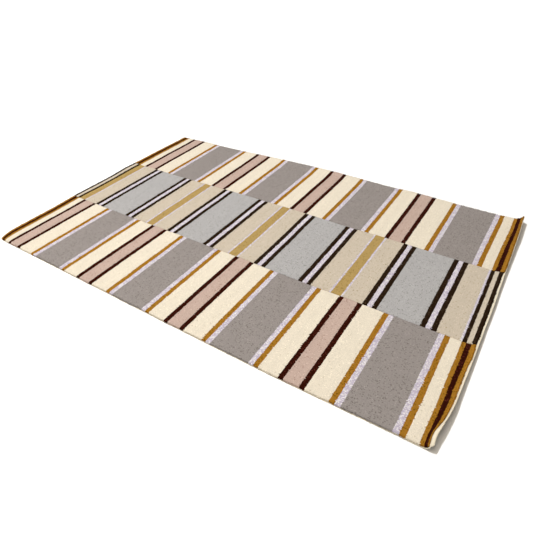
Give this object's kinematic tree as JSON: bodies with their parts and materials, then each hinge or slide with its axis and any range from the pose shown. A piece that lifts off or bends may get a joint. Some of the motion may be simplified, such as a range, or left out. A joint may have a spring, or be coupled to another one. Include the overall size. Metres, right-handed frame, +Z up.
{
  "type": "hand-tufted rug",
  "caption": "Flat hand-tufted wool floor rug with cross stripes set in lanes along its length, a cream cloth rim, and its right end curled up off the floor.",
  "frame": {"origin": "on the floor, under the middle of the rug's outline", "axes": "+X along the rug's length towards its curled end, +Y across it from the near side to the far side, +Z up out of the pile"},
  "size_m": [2.9792, 2.0154, 0.0624],
  "materials": {
    "cotton_cloth": "cream plain-woven cotton base cloth with its edge turned as a hem",
    "wool": "short dense wool pile, tufted row by row in matt cross stripes of cream, greys, sand, dusty pink, ochre, gold, maroon, lilac and near-black"
  },
  "bodies": {
    "root": {"base_cloth": "cotton_cloth", "wool_pile": "wool"}
  },
  "joints": []
}
